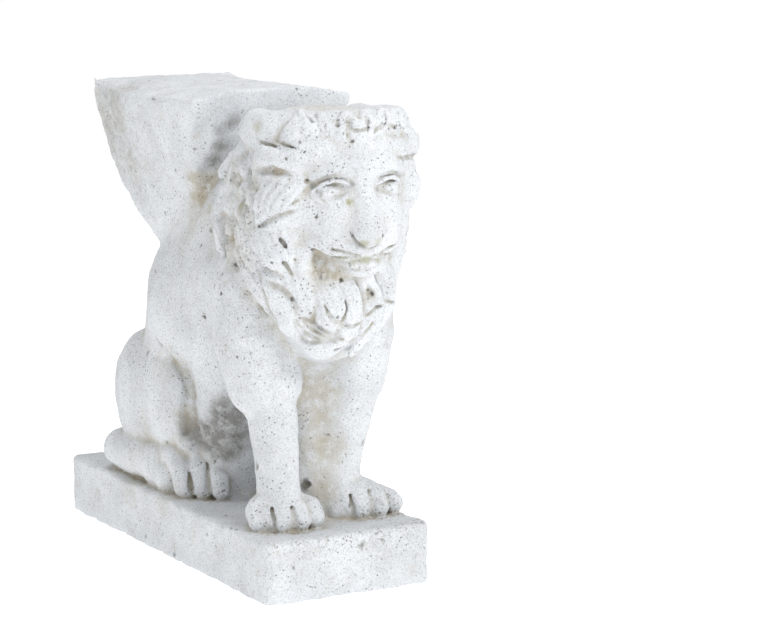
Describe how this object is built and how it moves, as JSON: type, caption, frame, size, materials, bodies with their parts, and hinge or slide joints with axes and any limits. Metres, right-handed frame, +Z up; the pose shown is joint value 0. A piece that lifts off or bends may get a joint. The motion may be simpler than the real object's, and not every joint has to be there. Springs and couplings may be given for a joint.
{
  "type": "winged lion garden statue on plinth",
  "caption": "Seated winged lion cast in one with a rectangular plinth, its wings carrying a level top for a bench or table slab.",
  "frame": {"origin": "centre of the plinth's underside", "axes": "+Z up, -Y the way the lion faces, +X to the lion's left, across the plinth"},
  "size_m": [0.1803, 0.5104, 0.455],
  "materials": {
    "cast_stone": "white weathered cast stone, fine grain, small air holes, dirt and stains in the hollows"
  },
  "bodies": {
    "root": {"winged_lion_statue": "cast_stone"}
  },
  "joints": []
}
